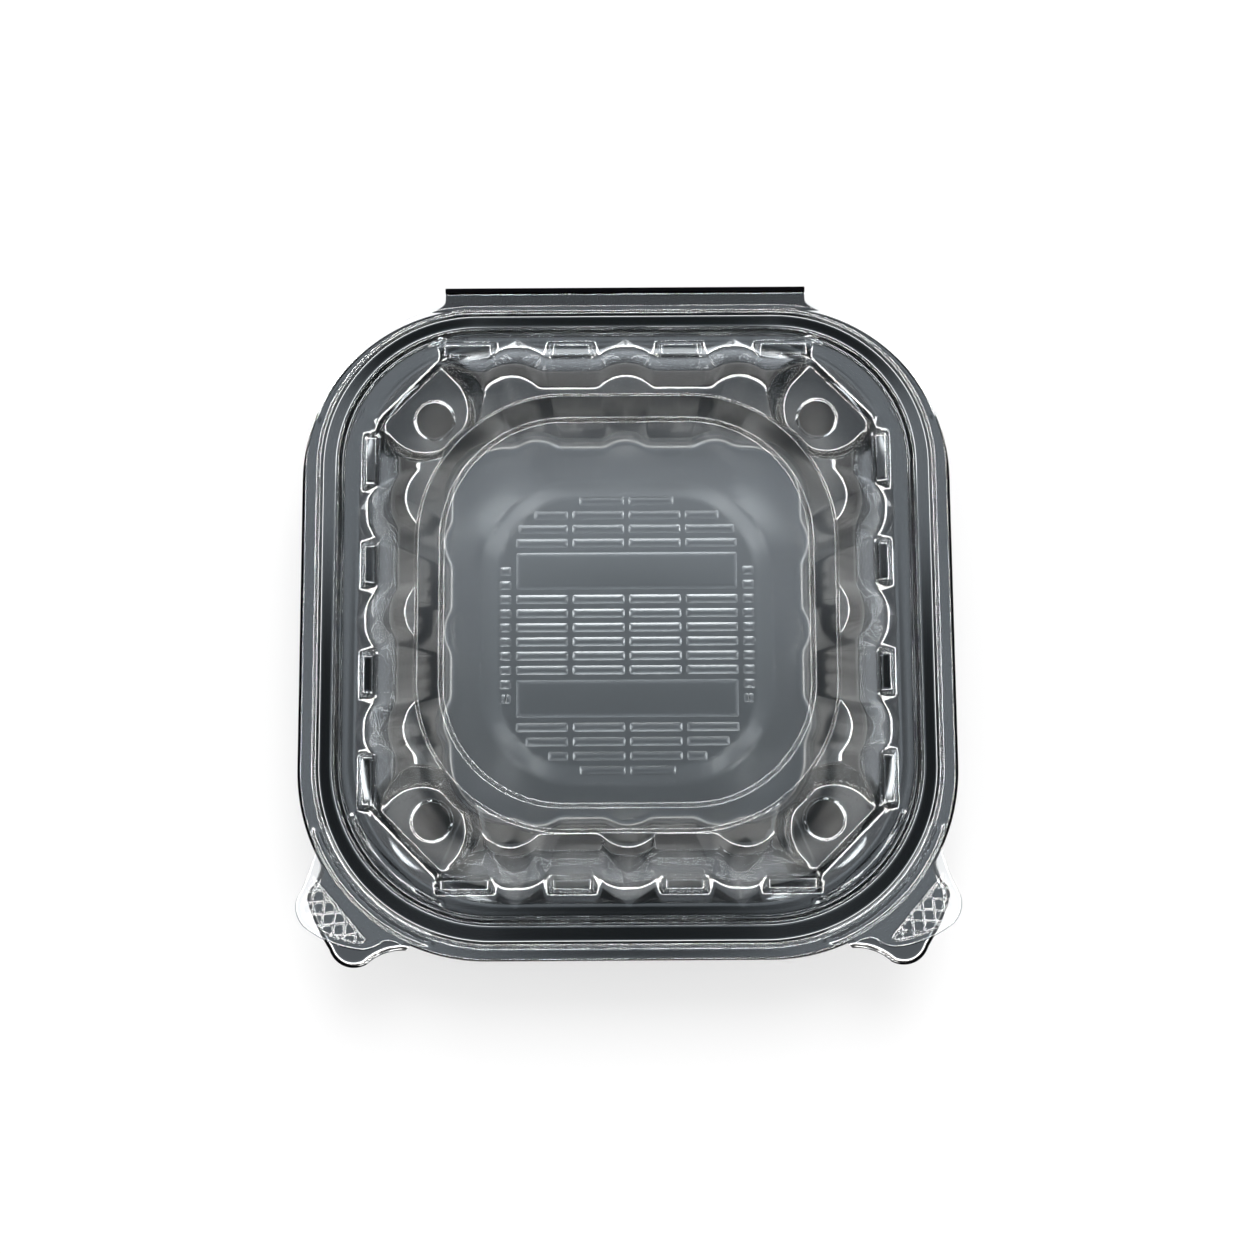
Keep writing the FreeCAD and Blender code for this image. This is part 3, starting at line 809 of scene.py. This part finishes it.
def tray_sheet(material, edge_material):
    """The tray's sheet, with its thickness below the upper face."""
    rings = tray_rings()
    rows, columns = rings.shape[:2]
    x, y = rings[..., 0].ravel(), rings[..., 1].ravel()
    points = np.stack([x, y, tray_height(x, y) + TRAY_Z], 1)
    faces = grid_faces(rows, columns, True)
    at_edge = np.append(inward(TRAY_LIP, x, y)[faces].mean(1) < EDGE_BAND, False)
    piece = sheet_mesh("tray_sheet", points, faces, material, "tray", "base_tray", middle=columns,
                       edge=(edge_material, at_edge))
    wall = piece.modifiers.new("sheet", "SOLIDIFY")
    wall.thickness = SHEET * MM
    wall.offset = -1


def field_reach(y):
    """How far the flat field of ribs reaches from the middle line at a distance y from its centre."""
    half, back, front, radius, _ = grow(CENTRE_EDGE, -BORDER_WIDTH)
    over = abs(y) - ((back if y > 0 else front) - radius)
    return half if over <= 0 else half - radius + math.sqrt(max(radius ** 2 - over ** 2, 0))


def floor_bars():
    """The bars on the floor as (middle x, middle y, length, width, rise)."""
    plate_rows = [row for first, last in PLATE_ROWS for row in range(first, last + 1)]
    length, width, rise = RIB_SIZE
    pitch_x, pitch_y = RIB_PITCH
    middles = [(column - (RIB_COLUMNS - 1) / 2) * pitch_x for column in range(RIB_COLUMNS)]
    inner_end = RIB_COLUMNS * pitch_x / 2 + (pitch_x - length) / 2
    bars = []
    for row in range(RIB_ROWS):
        y = RIB_FIRST - row * pitch_y
        limit = field_reach(y + math.copysign(width / 2, y)) - RIB_MARGIN
        spans = [(inner_end, inner_end + STUB_LENGTH), (-inner_end - STUB_LENGTH, -inner_end)]
        if row not in plate_rows:
            spans += [(middle - length / 2, middle + length / 2) for middle in middles]
        for low, high in spans:
            low, high = max(low, -limit), min(high, limit)
            if high - low > width:
                bars.append(((low + high) / 2, y, high - low, width, rise))
    for first, last in PLATE_ROWS:
        bars.append((0, RIB_FIRST - (first + last) / 2 * pitch_y, *PLATE_SIZE))
    return bars


def floor_ribs(material):
    """Low rounded bars: each height is the lesser of the way to its ends and to its sides, rounded.

    A bar that is too narrow for the grid has it squeezed, and its two halves share the middle line.
    """
    near = np.array(RIB_GRID)
    grids = []
    for middle_x, middle_y, length, width, rise in floor_bars():
        along = np.concatenate([near - length / 2, length / 2 - near[::-1]])
        narrow = width < 2 * near[-1]
        reach = near * width / (2 * near[-1]) if narrow else near
        far_half = width / 2 - reach[::-1]
        across = np.concatenate([reach - width / 2, far_half[1:] if narrow else far_half])
        x, y = np.meshgrid(along, across)
        slope = rise / RIB_RUN
        height = smooth_min((length / 2 - np.abs(x)) * slope, (width / 2 - np.abs(y)) * slope, RIB_BLEND)
        z = TRAY_Z + FLOOR + CENTRE_RISE + smooth_min(height, rise, RIB_BLEND)
        grids.append((x + middle_x, y + middle_y, z, grid_faces(*x.shape, False)[:, ::-1]))
    sheet_mesh("floor_ribs", *joined(grids), material, "tray")


def arc(first, middle, last, count):
    """Points on the arc through three points, without the last one."""
    a, b, c = (complex(*point) for point in (first, middle, last))
    w = (c - a) / (b - a)
    centre = (b - a) * (w - abs(w) ** 2) / (w - w.conjugate()) + a
    sweep = np.angle((b - centre) / (a - centre)) + np.angle((c - centre) / (b - centre))
    points = centre + (a - centre) * np.exp(1j * sweep * np.arange(count) / count)
    return np.stack([points.real, points.imag], 1)


def tab_surface(outline, lip, inset, per_arc, rows):
    """A ruled sheet from inside a lip's corner to a tab's outline.

    Gives the step along the corner, the distance from the middle and the way to the edge.
    """
    arcs = [arc(*outline[index:index + 3], per_arc) for index in range(0, len(outline) - 2, 2)]
    edge = np.concatenate(arcs + [[outline[-1]]])
    radius = lip[4]
    centre_x, centre_y = lip[0] - radius, lip[2] - radius
    middle_s, middle_d = (centre_y - centre_x) / math.sqrt(2), (centre_y + centre_x) / math.sqrt(2)
    step = edge[:, 0]
    root = middle_d + np.sqrt((radius - inset) ** 2 - (step - middle_s) ** 2)
    share = np.linspace(0, 1, rows)[:, None]
    d = root + (edge[:, 1] - root) * share
    s = np.broadcast_to(step, d.shape)
    away = np.hypot(s[..., None] - edge[:, 0], d[..., None] - edge[:, 1]).min(-1)
    return s, d, away


def two_tabs(name, outline, lip, inset, height, material, body, grid, edge_material):
    """The left and the right tab as one piece, with height(s, d, away) over their plan."""
    per_arc, rows = grid
    s, d, away = tab_surface(outline, lip, inset, per_arc, rows)
    x, y, z = (d - s) / math.sqrt(2), -(d + s) / math.sqrt(2), height(s, d, away)
    faces = grid_faces(*s.shape, False)
    at_edge = np.arange(len(faces)) >= len(faces) * (1 - TAB_EDGE_ROWS / (rows - 1))
    points, faces = joined([(-x, y, z, faces), (x, y, z, faces[:, ::-1])])
    sheet_mesh(name, points, faces, material, body, edge=(edge_material, np.tile(at_edge, 2)))


def ridge(place):
    """A round ridge in the middle of every pitch, from nothing up to one."""
    off = np.clip(np.abs(place / HATCH_PITCH % 1 - 0.5) * HATCH_PITCH / HATCH_HALF, 0, 1)
    return 0.5 + 0.5 * np.cos(math.pi * off)


def lid_tab_height(s, d, away):
    """The clear tab: flat, its edge rolled down a little, with crossed ridges in a patch."""
    low, high, inner, edge = HATCH
    near_side = np.minimum(d - inner - (s - low) * HATCH_TAPER, away - edge)
    inside = np.minimum(np.minimum(s - low, high - s), near_side)
    ridges = np.maximum(ridge(s + HATCH_SLANT * d), ridge(s - HATCH_SLANT * d)) * HATCH_RISE
    hatch = ridges * np.clip(inside / HATCH_FADE, 0, 1)
    line = np.clip(1 - np.abs(inside) / HATCH_LINE, 0, 1) * HATCH_RISE
    roll = LID_TAB_ROLL * np.clip(1 - away / LID_TAB_ROLL_RUN, 0, 1) ** 2
    return LID_Z - LID_TAB_DROP + np.maximum(hatch, line) - roll


def tray_tab_height(s, d, away):
    """The black tab under it, curled down towards its edge."""
    curl = np.clip(1 - away / TAB_CURL_RUN, 0, 1)
    return TRAY_Z - TRAY_TAB_DROP - TAB_CURL * curl * curl


def hinge_strip(name, profile, flare, material, body):
    """A strip along x through (y, z) points, wider at its root by flare."""
    along = np.linspace(-1, 1, STRIP_COLUMNS)
    rows = []
    for y, z in profile:
        half = HINGE_LENGTH / 2 + flare * max(0, 1 - (y - FLARE_END) / FLARE_RUN) ** 2
        rows.append(np.stack([along * half, np.full_like(along, y), np.full_like(along, z)], 1))
    faces = grid_faces(len(rows), STRIP_COLUMNS, False)[:, ::-1]
    sheet_mesh(name, np.concatenate(rows), faces, material, body)


def hinge_strips(clear, dull):
    """The two strips at the back, and the fold at the end of the black one."""
    flat = [(y, LID_Z - CLEAR_DROP) for y in np.linspace(CLEAR_START, CLEAR_END, 12)]
    flat += [(CLEAR_END + past, LID_Z - down) for past, down in CLEAR_TURN]
    hinge_strip("hinge_strip_clear", flat, HINGE_FLARE, clear, "lid")
    flat = [(y, TRAY_Z) for y in np.linspace(BLACK_START, HINGE_BACK - FOLD_RADIUS, 10)]
    hinge_strip("hinge_strip_black", flat, BLACK_FLARE, dull, "tray")
    turns = np.linspace(math.pi, -math.pi, 25)
    fold = [(HINGE_BACK + FOLD_RADIUS * math.cos(turn), HINGE.z + FOLD_RADIUS * math.sin(turn))
            for turn in turns]
    hinge_strip("hinge_fold", fold, 0, dull, "tray")


def add_camera():
    """The camera looks down at the lip, tilted from the front and rolled a little."""
    data = bpy.data.cameras.new("camera")
    data.sensor_width = SENSOR
    data.lens = FOCAL_PIXELS / PHOTO_PIXELS * data.sensor_width
    data.clip_start = CLIP_START
    view = bpy.data.objects.new("camera", data)
    bpy.context.scene.collection.objects.link(view)
    right = Vector((1, 0, 0))
    up = Vector((0, math.cos(TILT), math.sin(TILT)))
    x_axis = math.cos(ROLL) * right + math.sin(ROLL) * up
    y_axis = -math.sin(ROLL) * right + math.cos(ROLL) * up
    z_axis = x_axis.cross(y_axis)
    turn = Matrix((x_axis, y_axis, z_axis)).transposed()
    view.matrix_world = Matrix.Translation(Vector(CAMERA) * MM) @ turn.to_4x4()
    bpy.context.scene.camera = view


def add_floor():
    """A plain white floor that keeps the pack's soft shadow."""
    mesh = bpy.data.meshes.new("floor")
    signs = ((-1, -1), (1, -1), (1, 1), (-1, 1))
    corners = [(x_sign * TABLE_REACH, y_sign * TABLE_REACH, 0) for x_sign, y_sign in signs]
    mesh.from_pydata(corners, [], [(0, 1, 2, 3)])
    material, tree = new_material("floor")
    paint = add_node(tree, "BsdfDiffuse", {"Color": TABLE_TINT})
    glow = add_node(tree, "Emission", {"Strength": 1.0})
    path = add_node(tree, "LightPath")
    rays = {0: path.outputs["Is Camera Ray"], 1: path.outputs["Is Transmission Ray"]}
    seen = add_node(tree, "Math", rays, operation="MAXIMUM")
    share = add_node(tree, "Math", {0: seen.outputs[0], 1: TABLE_GLOW}, operation="MULTIPLY")
    mix = add_node(tree, "MixShader", {"Fac": share.outputs[0], 1: paint.outputs[0], 2: glow.outputs[0]})
    add_node(tree, "OutputMaterial", {"Surface": mix.outputs[0]})
    mesh.materials.append(material)
    floor = bpy.data.objects.new("floor", mesh)
    bpy.context.scene.collection.objects.link(floor)


def add_lamp():
    """A soft lamp above the back, aimed at the pack. No surface mirrors it."""
    data = bpy.data.lights.new("lamp_back", "AREA")
    data.shape = "RECTANGLE"
    data.size, data.size_y = LAMP_SIZE
    data.energy = LAMP_POWER
    lamp = bpy.data.objects.new("lamp_back", data)
    bpy.context.scene.collection.objects.link(lamp)
    lamp.location = LAMP_PLACE
    aim = Vector(LAMP_AIM) - Vector(LAMP_PLACE)
    lamp.rotation_euler = aim.to_track_quat("-Z", "Y").to_euler()
    lamp.visible_glossy = False


def add_world():
    """White for the camera. Glossy surfaces see a light tent: dim overhead, bright round its sides."""
    world = bpy.data.worlds.new("studio")
    bpy.context.scene.world = world
    world.use_nodes = True
    tree = world.node_tree
    tree.nodes.clear()
    coordinates = add_node(tree, "TexCoord")
    split = add_node(tree, "SeparateXYZ", {0: coordinates.outputs["Generated"]})
    ramp = add_node(tree, "ValToRGB", {"Fac": split.outputs["Z"]})
    ramp.color_ramp.interpolation = "EASE"
    stops = ramp.color_ramp.elements
    for stop, (place, colour) in zip(stops, TENT):
        stop.position = place
        stop.color = (*colour, 1)
    for place, colour in TENT[2:]:
        stops.new(place).color = (*colour, 1)
    plain = add_node(tree, "Background", {"Color": (1, 1, 1, 1)})
    tent = add_node(tree, "Background", {"Color": ramp.outputs["Color"], "Strength": TENT_LEVEL})
    path = add_node(tree, "LightPath")
    glossy = path.outputs["Is Glossy Ray"]
    mix = add_node(tree, "MixShader", {"Fac": glossy, 1: plain.outputs[0], 2: tent.outputs[0]})
    add_node(tree, "OutputWorld", {"Surface": mix.outputs[0]})


add_camera()
add_floor()
add_world()
add_lamp()
bpy.context.scene.view_settings.view_transform = "Standard"

clear = clear_sheet()
black = black_sheet()
dull = black_fold()
tray_sheet(black, dull)
floor_ribs(black)
lid_sheet(clear)
vent_patches(clear)
two_tabs("tray_tabs", TRAY_TAB, TRAY_LIP, TRAY_TAB_INSET, tray_tab_height, black, "tray", TRAY_TAB_GRID,
         dull)
two_tabs("lid_tabs", LID_TAB, LID_LIP, LID_TAB_INSET, lid_tab_height, clear, "lid", LID_TAB_GRID,
         clear_edge())
hinge_strips(clear, dull)
